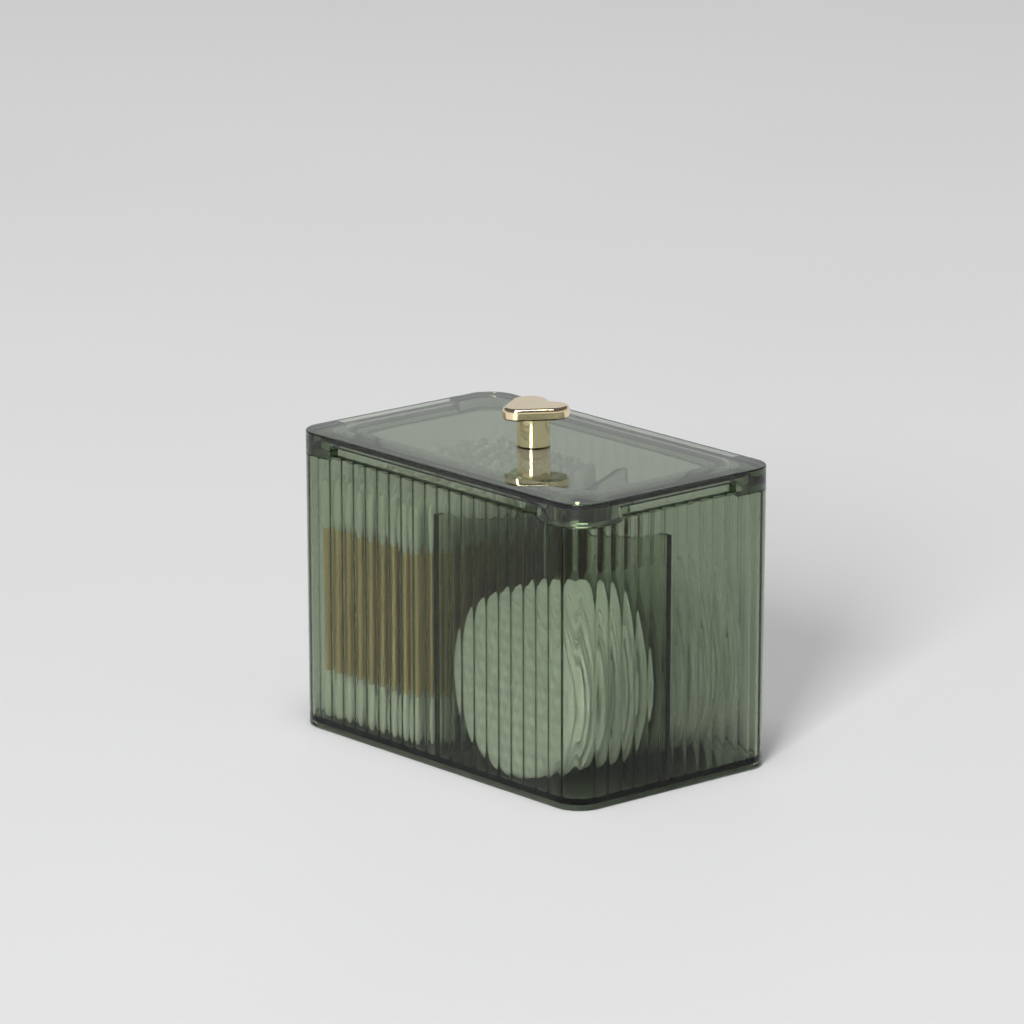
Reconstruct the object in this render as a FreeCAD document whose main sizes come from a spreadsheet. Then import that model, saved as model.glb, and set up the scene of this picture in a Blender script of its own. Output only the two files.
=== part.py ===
import FreeCAD, Part
import Sketcher
import math
import os

# Clear tray with a fluted inner wall, two dividers and a lift-off lid with a heart knob.
# Millimetres. X runs along the long side, Y to the back, Z up. Origin at the middle of the foot.

os.makedirs("parts", exist_ok=True)
doc = FreeCAD.newDocument("CottonBox")
sheet = doc.addObject("Spreadsheet::Sheet", "Sizes")

# The driving dimensions
sizes = {
    # Tray
    "length": 130,
    "width": 80,
    "corner_radius": 9.5,
    "wall": 3,
    "draft_angle": 0.35,
    "floor_thickness": 1.8,
    "foot_height": 1.5,
    "foot_width": 2.6,
    "foot_round": 0.9,
    # Flutes in the inner wall
    "flute_depth": 0.45,
    "flute_land": 0.3,
    "long_flutes": 20,
    "short_flutes": 12,
    "corner_flutes": 2,
    # Seats for the lid at the four corners
    "seat_reach": 18,
    "seat_drop": 1.5,
    "seat_lead": 1.2,
    "lid_clearance": 0.2,
    # Lid
    "lid_gap": 2.8,
    "lid_thickness": 3,
    "crown_drop": 0.4,
    "crown_border": 11.5,
    "crown_radius": 8,
    "lid_edge_round": 0.5,
    "lip_thickness": 3,
    "lip_inner_radius": 8,
    # Dividers
    "divider_thickness": 2,
    "divider_drop": 9.2,
    "divider_fit": 0.1,
    "divider_ear": 3.5,
    "divider_blend": 5,
    "cross_scoop": 6.3,
    "long_scoop": 5,
    "housing_depth": 0.6,
    # Knob
    "heart_width": 20.6,
    "lobe_overlap": 0.8,
    "heart_tip": 10.9,
    "heart_tip_round": 4.6,
    "heart_cleft_round": 1.2,
    "heart_thickness": 3.6,
    "heart_round": 1.2,
    "heart_bevel": 0.5,
    "stem_diameter": 10.2,
    "stem_height": 9.2,
    "stem_bevel": 0.3,
    "spigot_diameter": 6,
    "spigot_height": 1.4,
    "thread_diameter": 4,
    "thread_reach": 5.5,
    "screw_clearance": 0.2,
    "press_clearance": 0.03,
    "head_diameter": 8,
    "head_height": 2.4,
    "head_round": 1,
    "recess_length": 4.4,
    "recess_width": 1,
    "recess_depth": 1.2,
    "washer_diameter": 10,
    "washer_thickness": 0.8,
    # Contents
    "swab_length": 75,
    "swab_headroom": 8.9,
    "swab_tip_length": 15,
    "swab_tip_diameter": 4.9,
    "swab_gap": 0.08,
    "swab_row_gap": 0.05,
    "stick_diameter": 2.4,
    "stick_sides": 6,
    "contents_clearance": 0.5,
    "pad_clearance": 2,
    "pad_thickness": 2,
    "pad_gap": 0.15,
    "pad_sides": 24,
    "pad_slack": 2.9,
}
for row, (name, value) in enumerate(sizes.items(), start=1):
    sheet.set("A%d" % row, name)
    sheet.set("B%d" % row, str(value))
    sheet.setAlias("B%d" % row, name)
doc.recompute()

# Formulas that several pieces share, all in terms of the sheet
floorTop = "(Sizes.foot_height + Sizes.floor_thickness)"
wallTop = "(%s + Sizes.swab_length + Sizes.swab_headroom)" % floorTop
lidBottom = "(%s + Sizes.lid_gap)" % wallTop
lidTop = "(%s + Sizes.lid_thickness)" % lidBottom
seatLevel = "(%s - Sizes.seat_drop)" % wallTop
innerLength = "(Sizes.length - 2 * Sizes.wall)"
innerWidth = "(Sizes.width - 2 * Sizes.wall)"
innerRadius = "(Sizes.corner_radius - Sizes.wall)"
lipLength = "(%s - 2 * Sizes.lid_clearance)" % innerLength
lipWidth = "(%s - 2 * Sizes.lid_clearance)" % innerWidth
longPitch = "((Sizes.length - 2 * Sizes.corner_radius) / Sizes.long_flutes)"
shortPitch = "((Sizes.width - 2 * Sizes.corner_radius) / Sizes.short_flutes)"
longDividerY = "(-%s * (1 + mod(Sizes.short_flutes; 2)) / 2)" % shortPitch
dividerTop = "(%s - Sizes.divider_drop)" % wallTop
stickFoot = "(%s + Sizes.swab_tip_length)" % floorTop
stickHead = "(%s + Sizes.swab_length - Sizes.swab_tip_length)" % floorTop
stickLength = "(Sizes.swab_length - 2 * Sizes.swab_tip_length)"
swabLeft = "(-%s / 2 + Sizes.contents_clearance)" % innerLength
swabRight = "(-Sizes.divider_thickness / 2 - Sizes.contents_clearance)"
swabDepth = "(%s - 2 * Sizes.contents_clearance)" % innerWidth
stemTop = "(%s + Sizes.stem_height)" % lidTop
heartLobe = "((Sizes.heart_width / 2 + Sizes.lobe_overlap) / 2)"


def number(expression):
    """The present value of an expression over the sheet."""
    return float(sheet.evalExpression(expression.replace("Sizes.", "")))


def newBody(name):
    body = doc.addObject("PartDesign::Body", name)
    body.Label = name
    return body


def newSketch(body, name, role, level=None):
    """A sketch on one of the body's own origin planes, raised to a level along its normal."""
    sketch = body.newObject("Sketcher::SketchObject", name)
    plane = [item for item in body.Origin.OriginFeatures if item.Role == role][0]
    sketch.AttachmentSupport = [(plane, "")]
    sketch.MapMode = "FlatFace"
    if level:
        sketch.setExpression("AttachmentOffset.Base.z", level)
    return sketch


def bind(sketch, constraint, name, expression):
    """Adds a driving constraint and ties it to the sheet."""
    index = sketch.addConstraint(constraint)
    sketch.renameConstraint(index, name)
    sketch.setExpression("Constraints." + name, expression)


def point(x, y):
    return FreeCAD.Vector(x, y, 0)


def lineBetween(sketch, start, end):
    return sketch.addGeometry(Part.LineSegment(start, end), False)


def addRectangle(sketch, label, x, y, across, along):
    """Rectangle from its centre and sizes, each an expression."""
    x0 = number(x) - number(across) / 2
    x1 = number(x) + number(across) / 2
    y0 = number(y) - number(along) / 2
    y1 = number(y) + number(along) / 2
    corners = [point(x0, y0), point(x1, y0), point(x1, y1), point(x0, y1)]
    edges = [lineBetween(sketch, corners[i], corners[(i + 1) % 4]) for i in range(4)]
    for i in range(4):
        sketch.addConstraint(Sketcher.Constraint("Coincident", edges[i], 2, edges[(i + 1) % 4], 1))
    for i in (0, 2):
        sketch.addConstraint(Sketcher.Constraint("Horizontal", edges[i]))
    for i in (1, 3):
        sketch.addConstraint(Sketcher.Constraint("Vertical", edges[i]))
    left = Sketcher.Constraint("DistanceX", -1, 1, edges[0], 1, x0)
    front = Sketcher.Constraint("DistanceY", -1, 1, edges[0], 1, y0)
    bind(sketch, left, label + "Left", "%s - %s / 2" % (x, across))
    bind(sketch, front, label + "Front", "%s - %s / 2" % (y, along))
    wide = Sketcher.Constraint("DistanceX", edges[0], 1, edges[0], 2, x1 - x0)
    deep = Sketcher.Constraint("DistanceY", edges[1], 1, edges[1], 2, y1 - y0)
    bind(sketch, wide, label + "Across", across)
    bind(sketch, deep, label + "Along", along)


def addRoundedRectangle(sketch, label, across, along, radius):
    """Rectangle with round corners, centred on the origin."""
    a = number(across) / 2
    b = number(along) / 2
    r = number(radius)
    lines = [
        lineBetween(sketch, point(-a + r, -b), point(a - r, -b)),
        lineBetween(sketch, point(a, -b + r), point(a, b - r)),
        lineBetween(sketch, point(a - r, b), point(-a + r, b)),
        lineBetween(sketch, point(-a, b - r), point(-a, -b + r)),
    ]
    arcs = []
    for i, (x, y) in enumerate(((a - r, -b + r), (a - r, b - r), (-a + r, b - r), (-a + r, -b + r))):
        circle = Part.Circle(point(x, y), FreeCAD.Vector(0, 0, 1), r)
        start = math.radians(270 + 90 * i)
        arcs.append(sketch.addGeometry(Part.ArcOfCircle(circle, start, start + math.pi / 2), False))
    for i in range(4):
        sketch.addConstraint(Sketcher.Constraint("Tangent", lines[i], 2, arcs[i], 1))
        sketch.addConstraint(Sketcher.Constraint("Tangent", arcs[i], 2, lines[(i + 1) % 4], 1))
    sketch.addConstraint(Sketcher.Constraint("Horizontal", lines[0]))
    sketch.addConstraint(Sketcher.Constraint("Vertical", lines[1]))
    sketch.addConstraint(Sketcher.Constraint("Horizontal", lines[2]))
    sketch.addConstraint(Sketcher.Constraint("Vertical", lines[3]))
    for i in (1, 2, 3):
        sketch.addConstraint(Sketcher.Constraint("Equal", arcs[0], arcs[i]))
    sketch.addConstraint(Sketcher.Constraint("Symmetric", lines[0], 1, lines[2], 1, -1, 1))
    bind(sketch, Sketcher.Constraint("Radius", arcs[0], r), label + "Radius", radius)
    bind(sketch, Sketcher.Constraint("Distance", lines[0], 1, lines[2], 2 * b), label + "Along", along)
    bind(sketch, Sketcher.Constraint("Distance", lines[1], 1, lines[3], 2 * a), label + "Across", across)


def addCircle(sketch, label, x, y, radius):
    """Circle from its centre and radius, each an expression."""
    circle = Part.Circle(point(number(x), number(y)), FreeCAD.Vector(0, 0, 1), number(radius))
    index = sketch.addGeometry(circle, False)
    bind(sketch, Sketcher.Constraint("DistanceX", -1, 1, index, 3, number(x)), label + "X", x)
    bind(sketch, Sketcher.Constraint("DistanceY", -1, 1, index, 3, number(y)), label + "Y", y)
    bind(sketch, Sketcher.Constraint("Radius", index, number(radius)), label + "Radius", radius)


def addPad(body, name, sketch, length, reverse=False, taper=None):
    pad = body.newObject("PartDesign::Pad", name)
    pad.Profile = sketch
    pad.setExpression("Length", length)
    pad.Reversed = reverse
    if taper:
        pad.setExpression("TaperAngle", taper)
    doc.recompute()
    return pad


def addPocket(body, name, sketch, depth, upward=False, taper=None):
    """Cuts along the sketch's normal, downward unless told otherwise, and checks that it cut."""
    before = body.Shape.Volume
    pocket = body.newObject("PartDesign::Pocket", name)
    pocket.Profile = sketch
    pocket.setExpression("Length", depth)
    pocket.Reversed = upward
    if taper:
        pocket.setExpression("TaperAngle", taper)
    doc.recompute()
    if not body.Shape.Volume < before:
        raise RuntimeError(name + " cuts nothing")
    return pocket


def addPattern(body, name, feature, role, pitch, count):
    """Repeats a feature in a row along one of the body's axes."""
    axis = [item for item in body.Origin.OriginFeatures if item.Role == role][0]
    pattern = body.newObject("PartDesign::LinearPattern", name)
    pattern.Originals = [feature]
    pattern.Direction = (axis, [""])
    pattern.setExpression("Occurrences", count)
    pattern.setExpression("Length", "%s * (%s - 1)" % (pitch, count))
    body.Tip = pattern
    doc.recompute()
    return pattern


def edgesWhere(feature, test):
    """Names of the edges whose bounding box passes a test."""
    edges = enumerate(feature.Shape.Edges, start=1)
    return ["Edge%d" % index for index, edge in edges if test(edge.BoundBox)]


def addFillet(body, name, feature, test, radius):
    fillet = body.newObject("PartDesign::Fillet", name)
    fillet.Base = (feature, edgesWhere(feature, test))
    fillet.setExpression("Radius", radius)
    doc.recompute()
    return fillet


def addChamfer(body, name, feature, test, size):
    chamfer = body.newObject("PartDesign::Chamfer", name)
    chamfer.Base = (feature, edgesWhere(feature, test))
    chamfer.setExpression("Size", size)
    doc.recompute()
    return chamfer


def near(a, b):
    return abs(a - b) < 0.01


def isLevel(box, height):
    """Whether an edge lies flat at a height."""
    return near(box.ZMin, height) and near(box.ZMax, height)


def isRunEnd(box, level, runX, runY):
    """Whether an edge lies at a level, straight across the end of one of the wall's runs."""
    if not isLevel(box, level):
        return False
    acrossX = near(box.XMin, box.XMax) and near(abs(box.XMin), runX)
    acrossY = near(box.YMin, box.YMax) and near(abs(box.YMin), runY)
    return acrossX or acrossY


def buildTray():
    """Moulded tray: drafted outside, fluted inside, hollow under the floor, lid seats at the corners."""
    body = newBody("box_shell")

    outline = newSketch(body, "TrayOutline", "XY_Plane", wallTop)
    addRoundedRectangle(outline, "outline", "Sizes.length", "Sizes.width", "Sizes.corner_radius")
    block = addPad(body, "TrayBlock", outline, wallTop, reverse=True, taper="-Sizes.draft_angle")
    addFillet(body, "FootRound", block, lambda box: isLevel(box, 0), "Sizes.foot_round")

    recess = newSketch(body, "FootHollow", "XY_Plane")
    shrink = "2 * (Sizes.foot_width + %s * tan(Sizes.draft_angle * 1 deg))" % wallTop
    hollowRadius = "(Sizes.corner_radius - Sizes.foot_width)"
    addRoundedRectangle(
        recess, "hollow", "(Sizes.length - %s)" % shrink, "(Sizes.width - %s)" % shrink, hollowRadius
    )
    addPocket(body, "FootRecess", recess, "Sizes.foot_height", upward=True)

    cavityDepth = "(%s - %s)" % (wallTop, floorTop)
    mouth = newSketch(body, "CavityMouth", "XY_Plane", wallTop)
    addRoundedRectangle(mouth, "mouth", innerLength, innerWidth, innerRadius)
    addPocket(body, "Cavity", mouth, cavityDepth)

    # Each flute is a round groove: its chord is the pitch less a narrow land, its depth is in the wall.
    def fluteRadius(chord):
        return "((%s)^2 / 4 + Sizes.flute_depth^2) / (2 * Sizes.flute_depth)" % chord

    longRadius = fluteRadius("(%s - Sizes.flute_land)" % longPitch)
    longX = "(-%s * (Sizes.long_flutes - 1) / 2)" % longPitch
    longY = "(%s / 2 + Sizes.flute_depth - %s)" % (innerWidth, longRadius)
    row = newSketch(body, "LongFlute", "XY_Plane", wallTop)
    addCircle(row, "front", longX, "(-%s)" % longY, longRadius)
    addCircle(row, "back", longX, longY, longRadius)
    flute = addPocket(body, "LongFluteCut", row, cavityDepth)
    addPattern(body, "LongFlutes", flute, "X_Axis", longPitch, "Sizes.long_flutes")

    shortRadius = fluteRadius("(%s - Sizes.flute_land)" % shortPitch)
    shortY = "(-%s * (Sizes.short_flutes - 1) / 2)" % shortPitch
    shortX = "(%s / 2 + Sizes.flute_depth - %s)" % (innerLength, shortRadius)
    row = newSketch(body, "ShortFlute", "XY_Plane", wallTop)
    addCircle(row, "left", "(-%s)" % shortX, shortY, shortRadius)
    addCircle(row, "right", shortX, shortY, shortRadius)
    flute = addPocket(body, "ShortFluteCut", row, cavityDepth)
    addPattern(body, "ShortFlutes", flute, "Y_Axis", shortPitch, "Sizes.short_flutes")

    # The corner flutes share each quarter turn evenly and are cut to the same depth.
    count = int(number("Sizes.corner_flutes"))
    halfTurn = "(45 deg / Sizes.corner_flutes)"
    chord = "(2 * %s * sin(%s) - Sizes.flute_land)" % (innerRadius, halfTurn)
    sagitta = "(Sizes.flute_depth + %s * (1 - cos(%s)))" % (innerRadius, halfTurn)
    cornerRadius = "(((%s)^2 / 4 + %s^2) / (2 * %s))" % (chord, sagitta, sagitta)
    reach = "(%s + Sizes.flute_depth - %s)" % (innerRadius, cornerRadius)
    corners = newSketch(body, "CornerFlute", "XY_Plane", wallTop)
    for sideX in (1, -1):
        for sideY in (1, -1):
            for step in range(count):
                turn = "(%d * %s)" % (2 * step + 1, halfTurn)
                x = "(%d * (Sizes.length / 2 - Sizes.corner_radius + %s * cos(%s)))" % (sideX, reach, turn)
                y = "(%d * (Sizes.width / 2 - Sizes.corner_radius + %s * sin(%s)))" % (sideY, reach, turn)
                label = "corner%d%d%d" % (sideX + 1, sideY + 1, step)
                addCircle(corners, label, x, y, cornerRadius)
    addPocket(body, "CornerFlutes", corners, cavityDepth)

    # Lid seats: the wall is lower at each corner, and the ends of its high runs are chamfered.
    # The cutter starts above the rim.
    seats = newSketch(body, "SeatOutline", "XY_Plane", "(%s + Sizes.seat_drop)" % wallTop)
    reach = "(2 * (Sizes.seat_reach - Sizes.seat_lead))"
    for sideX in (1, -1):
        for sideY in (1, -1):
            x = "(%d * Sizes.length / 2)" % sideX
            y = "(%d * Sizes.width / 2)" % sideY
            addRectangle(seats, "seat%d%d" % (sideX + 1, sideY + 1), x, y, reach, reach)
    cut = addPocket(body, "LidSeats", seats, "(2 * Sizes.seat_drop)")
    runX = number("Sizes.length / 2 - Sizes.seat_reach + Sizes.seat_lead")
    runY = number("Sizes.width / 2 - Sizes.seat_reach + Sizes.seat_lead")
    rim = number(wallTop)
    addChamfer(body, "SeatLeads", cut, lambda box: isRunEnd(box, rim, runX, runY), "Sizes.seat_lead")
    return body


def buildLid():
    """Moulded lid: a softly crowned plate, a lip that drops inside the wall, and corner blocks on the seats."""
    body = newBody("lid")

    outline = newSketch(body, "PlateOutline", "XY_Plane", lidBottom)
    addRoundedRectangle(outline, "plate", "Sizes.length", "Sizes.width", "Sizes.corner_radius")
    addPad(body, "Plate", outline, "(Sizes.lid_thickness - Sizes.crown_drop)")

    border = newSketch(body, "CrownBorder", "XY_Plane", "(%s - Sizes.crown_drop)" % lidTop)
    addRoundedRectangle(border, "border", "Sizes.length", "Sizes.width", "Sizes.corner_radius")
    flat = newSketch(body, "CrownFlat", "XY_Plane", lidTop)
    flatLength = "(Sizes.length - 2 * Sizes.crown_border)"
    flatWidth = "(Sizes.width - 2 * Sizes.crown_border)"
    addRoundedRectangle(flat, "flat", flatLength, flatWidth, "Sizes.crown_radius")
    crown = body.newObject("PartDesign::AdditiveLoft", "Crown")
    crown.Profile = border
    crown.Sections = [flat]
    crown.Ruled = True
    doc.recompute()

    edge = number("%s - Sizes.crown_drop" % lidTop)
    addFillet(body, "PlateEdge", crown, lambda box: isLevel(box, edge), "Sizes.lid_edge_round")

    # Under the plate, a ring that reaches out to the plate's edge. Along the straight runs its outer part is cut
    # away, which leaves the lip. What stays at the corners is the blocks, and their ends slope beside the ends
    # of the tray's high runs, a clearance away.
    blockHeight = "(Sizes.lid_gap + Sizes.seat_drop)"
    ring = newSketch(body, "RingOutline", "XY_Plane", seatLevel)
    addRoundedRectangle(ring, "outer", "Sizes.length", "Sizes.width", "Sizes.corner_radius")
    openLength = "(%s - 2 * Sizes.lip_thickness)" % lipLength
    openWidth = "(%s - 2 * Sizes.lip_thickness)" % lipWidth
    addRoundedRectangle(ring, "inner", openLength, openWidth, "Sizes.lip_inner_radius")
    addPad(body, "Ring", ring, blockHeight)

    blockReach = "(Sizes.seat_reach - Sizes.lid_clearance - Sizes.seat_drop + Sizes.seat_lead)"
    runLength = "(Sizes.length - 2 * %s)" % blockReach
    runWidth = "(Sizes.width - 2 * %s)" % blockReach
    runs = newSketch(body, "LongRunGaps", "XY_Plane", seatLevel)
    middle = "((%s + Sizes.width) / 2)" % lipWidth
    addRectangle(runs, "front", "0", "-" + middle, runLength, "Sizes.width")
    addRectangle(runs, "back", "0", middle, runLength, "Sizes.width")
    addPocket(body, "LongRuns", runs, blockHeight, upward=True)
    runs = newSketch(body, "SideRunGaps", "XY_Plane", seatLevel)
    middle = "((%s + Sizes.length) / 2)" % lipLength
    addRectangle(runs, "left", "-" + middle, "0", "Sizes.length", runWidth)
    addRectangle(runs, "right", middle, "0", "Sizes.length", runWidth)
    sideRuns = addPocket(body, "SideRuns", runs, blockHeight, upward=True)
    endX = number("Sizes.length / 2 - %s" % blockReach)
    endY = number("Sizes.width / 2 - %s" % blockReach)
    foot = number(seatLevel)
    addChamfer(body, "BlockLeads", sideRuns, lambda box: isRunEnd(box, foot, endX, endY), "Sizes.seat_lead")

    hole = newSketch(body, "ScrewHole", "XY_Plane", lidTop)
    addCircle(hole, "hole", "0", "0", "(Sizes.thread_diameter / 2 + Sizes.screw_clearance)")
    addPocket(body, "ScrewHoleCut", hole, "Sizes.lid_thickness")
    return body


def addScoopOutline(sketch, start, end, scoop):
    """Divider seen from its side: straight ears at both ends, and a round scoop between them."""
    x0 = number(start)
    x1 = number(end)
    z0 = number(floorTop)
    z1 = number(dividerTop)
    earSize = number("Sizes.divider_ear")
    half = (x1 - x0) / 2 - earSize
    depth = number(scoop)
    radius = (half ** 2 + depth ** 2) / (2 * depth)
    middle = (x0 + x1) / 2
    swing = math.asin(half / radius)
    circle = Part.Circle(point(middle, z1 - depth + radius), FreeCAD.Vector(0, 0, 1), radius)
    edges = [
        lineBetween(sketch, point(x0, z0), point(x1, z0)),
        lineBetween(sketch, point(x1, z0), point(x1, z1)),
        lineBetween(sketch, point(x1, z1), point(x1 - earSize, z1)),
        sketch.addGeometry(Part.ArcOfCircle(circle, 1.5 * math.pi - swing, 1.5 * math.pi + swing), False),
        lineBetween(sketch, point(x0 + earSize, z1), point(x0, z1)),
        lineBetween(sketch, point(x0, z1), point(x0, z0)),
    ]
    ends = [(0, 2, 1, 1), (1, 2, 2, 1), (2, 2, 3, 2), (3, 1, 4, 1), (4, 2, 5, 1), (5, 2, 0, 1)]
    for first, firstEnd, second, secondEnd in ends:
        joint = Sketcher.Constraint("Coincident", edges[first], firstEnd, edges[second], secondEnd)
        sketch.addConstraint(joint)
    for i in (0, 2, 4):
        sketch.addConstraint(Sketcher.Constraint("Horizontal", edges[i]))
    for i in (1, 5):
        sketch.addConstraint(Sketcher.Constraint("Vertical", edges[i]))
    sketch.addConstraint(Sketcher.Constraint("Equal", edges[2], edges[4]))
    bind(sketch, Sketcher.Constraint("DistanceX", -1, 1, edges[0], 1, x0), "Start", start)
    bind(sketch, Sketcher.Constraint("DistanceX", -1, 1, edges[0], 2, x1), "End", end)
    bind(sketch, Sketcher.Constraint("DistanceY", -1, 1, edges[0], 1, z0), "Bottom", floorTop)
    bind(sketch, Sketcher.Constraint("DistanceY", -1, 1, edges[1], 2, z1), "Top", dividerTop)
    ear = Sketcher.Constraint("DistanceX", edges[2], 2, edges[2], 1, earSize)
    bind(sketch, ear, "Ear", "Sizes.divider_ear")
    chord = "(%s - %s - 2 * Sizes.divider_ear)" % (end, start)
    curve = "((%s^2 / 4 + %s^2) / (2 * %s))" % (chord, scoop, scoop)
    bind(sketch, Sketcher.Constraint("Radius", edges[3], radius), "Scoop", curve)


def addWeb(body, name, sketch, thickness):
    """Pads a divider outline to its thickness, half to each side of its plane."""
    web = body.newObject("PartDesign::Pad", name)
    web.Profile = sketch
    web.setExpression("Length", thickness)
    web.Midplane = True
    doc.recompute()
    return web


def isScoopCorner(box, across):
    """Whether an edge runs across the divider at its top, as where an ear turns down into the scoop."""
    top = number(dividerTop)
    spans = near(across, number("Sizes.divider_thickness"))
    return spans and isLevel(box, top)


def buildCrossDivider():
    """Upright wall from front to back, with a shallow housing for the end of the long divider."""
    body = newBody("cross_divider")
    outline = newSketch(body, "CrossOutline", "YZ_Plane")
    reach = "(%s / 2 - Sizes.divider_fit)" % innerWidth
    addScoopOutline(outline, "(-%s)" % reach, reach, "Sizes.cross_scoop")
    web = addWeb(body, "CrossWeb", outline, "Sizes.divider_thickness")
    earEnd = number("%s - Sizes.divider_ear" % reach)

    def isBlend(box):
        return isScoopCorner(box, box.XLength) and near(abs(box.YMin), earEnd)

    addFillet(body, "CrossBlend", web, isBlend, "Sizes.divider_blend")

    housing = newSketch(body, "Housing", "XY_Plane", "(%s + Sizes.divider_fit)" % dividerTop)
    width = "(Sizes.divider_thickness + 2 * Sizes.divider_fit)"
    face = "(Sizes.divider_thickness / 2)"
    addRectangle(housing, "slot", face, longDividerY, "(2 * Sizes.housing_depth)", width)
    addPocket(body, "HousingSlot", housing, dividerTop)
    return body


def buildLongDivider():
    """Upright wall from the cross divider's housing to the middle flute of the right wall."""
    body = newBody("long_divider")
    outline = newSketch(body, "LongOutline", "XZ_Plane", "(-%s)" % longDividerY)
    start = "(Sizes.divider_thickness / 2 - Sizes.housing_depth + Sizes.divider_fit)"
    end = "(%s / 2 + Sizes.flute_depth / 2)" % innerLength
    addScoopOutline(outline, start, end, "Sizes.long_scoop")
    web = addWeb(body, "LongWeb", outline, "Sizes.divider_thickness")
    earStart = number("%s + Sizes.divider_ear" % start)
    earEnd = number("%s - Sizes.divider_ear" % end)

    def isBlend(box):
        return isScoopCorner(box, box.YLength) and (near(box.XMin, earStart) or near(box.XMin, earEnd))

    addFillet(body, "LongBlend", web, isBlend, "Sizes.divider_blend")
    return body


def addHeart(sketch):
    """Heart seen from above: two round lobes at the back, tangent sides and a round tip in front."""
    lobe = number(heartLobe)
    offset = number("Sizes.heart_width / 2 - %s" % heartLobe)
    tipRadius = number("Sizes.heart_tip_round")
    tipY = number("-Sizes.heart_tip + Sizes.heart_tip_round")
    lobeY = lobe / 2
    up = FreeCAD.Vector(0, 0, 1)

    # The sides touch both lobe and tip where their common normal points this way.
    span = math.hypot(offset, lobeY - tipY)
    lean = math.atan2(lobeY - tipY, offset) - math.acos((tipRadius - lobe) / span)
    cleft = math.acos(offset / lobe)
    right = Part.Circle(point(offset, lobeY), up, lobe)
    left = Part.Circle(point(-offset, lobeY), up, lobe)
    tip = Part.Circle(point(0, tipY), up, tipRadius)
    arcs = [
        sketch.addGeometry(Part.ArcOfCircle(right, lean, math.pi - cleft), False),
        sketch.addGeometry(Part.ArcOfCircle(left, cleft, math.pi - lean), False),
        sketch.addGeometry(Part.ArcOfCircle(tip, math.pi - lean, 2 * math.pi + lean), False),
    ]
    turn = FreeCAD.Vector(math.cos(lean), math.sin(lean), 0)
    mirrored = FreeCAD.Vector(-turn.x, turn.y, 0)
    sides = [
        lineBetween(sketch, point(0, tipY) + turn * tipRadius, point(offset, lobeY) + turn * lobe),
        lineBetween(sketch, point(-offset, lobeY) + mirrored * lobe, point(0, tipY) + mirrored * tipRadius),
    ]
    sketch.addConstraint(Sketcher.Constraint("Coincident", arcs[0], 2, arcs[1], 1))
    sketch.addConstraint(Sketcher.Constraint("Tangent", sides[0], 2, arcs[0], 1))
    sketch.addConstraint(Sketcher.Constraint("Tangent", arcs[1], 2, sides[1], 1))
    sketch.addConstraint(Sketcher.Constraint("Tangent", sides[1], 2, arcs[2], 1))
    sketch.addConstraint(Sketcher.Constraint("Tangent", arcs[2], 2, sides[0], 1))
    sketch.addConstraint(Sketcher.Constraint("Equal", arcs[0], arcs[1]))
    sketch.addConstraint(Sketcher.Constraint("Symmetric", arcs[0], 3, arcs[1], 3, -2))
    bind(sketch, Sketcher.Constraint("Radius", arcs[0], lobe), "Lobe", heartLobe)
    bind(sketch, Sketcher.Constraint("Radius", arcs[2], tipRadius), "TipRadius", "Sizes.heart_tip_round")
    half = "(Sizes.heart_width / 2 - %s)" % heartLobe
    bind(sketch, Sketcher.Constraint("DistanceX", -1, 1, arcs[0], 3, offset), "LobeX", half)
    lobeHeight = Sketcher.Constraint("DistanceY", -1, 1, arcs[0], 3, lobeY)
    bind(sketch, lobeHeight, "LobeY", "%s / 2" % heartLobe)
    front = "(-Sizes.heart_tip + Sizes.heart_tip_round)"
    bind(sketch, Sketcher.Constraint("DistanceY", -1, 1, arcs[2], 3, tipY), "TipY", front)
    sketch.addConstraint(Sketcher.Constraint("PointOnObject", arcs[2], 3, -2))


def buildHeart():
    """Heart cap of the knob, with rolled edges and a socket for the stem."""
    body = newBody("knob_heart")
    outline = newSketch(body, "HeartOutline", "XY_Plane", stemTop)
    addHeart(outline)
    cap = addPad(body, "HeartCap", outline, "Sizes.heart_thickness")
    upright = number("Sizes.heart_thickness")

    def isCleft(box):
        return near(box.ZLength, upright) and near(box.XMin, 0) and near(box.XMax, 0)

    cleft = addFillet(body, "HeartCleft", cap, isCleft, "Sizes.heart_cleft_round")
    under = number(stemTop)
    top = under + upright
    roll = addFillet(body, "HeartRoll", cleft, lambda box: isLevel(box, top), "Sizes.heart_round")
    addChamfer(body, "HeartBevel", roll, lambda box: isLevel(box, under), "Sizes.heart_bevel")
    socket = newSketch(body, "SpigotSocket", "XY_Plane", stemTop)
    addCircle(socket, "socket", "0", "0", "(Sizes.spigot_diameter / 2 + Sizes.press_clearance)")
    socketDepth = "(Sizes.spigot_height + Sizes.press_clearance)"
    addPocket(body, "SpigotSocketCut", socket, socketDepth, upward=True)
    return body


def buildStem():
    """Turned stem of the knob: a spigot on top, a threaded blind hole below."""
    body = newBody("knob_stem")
    foot = newSketch(body, "StemFoot", "XY_Plane", lidTop)
    addCircle(foot, "stem", "0", "0", "(Sizes.stem_diameter / 2)")
    stem = addPad(body, "StemRound", foot, "Sizes.stem_height")
    addChamfer(body, "StemBevel", stem, lambda box: isLevel(box, number(lidTop)), "Sizes.stem_bevel")
    head = newSketch(body, "SpigotFoot", "XY_Plane", stemTop)
    addCircle(head, "spigot", "0", "0", "(Sizes.spigot_diameter / 2)")
    addPad(body, "Spigot", head, "Sizes.spigot_height")
    bore = newSketch(body, "ThreadBore", "XY_Plane", lidTop)
    addCircle(bore, "bore", "0", "0", "(Sizes.thread_diameter / 2 + Sizes.press_clearance)")
    addPocket(body, "ThreadBoreCut", bore, "(Sizes.thread_reach + Sizes.screw_clearance)", upward=True)
    return body


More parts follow.
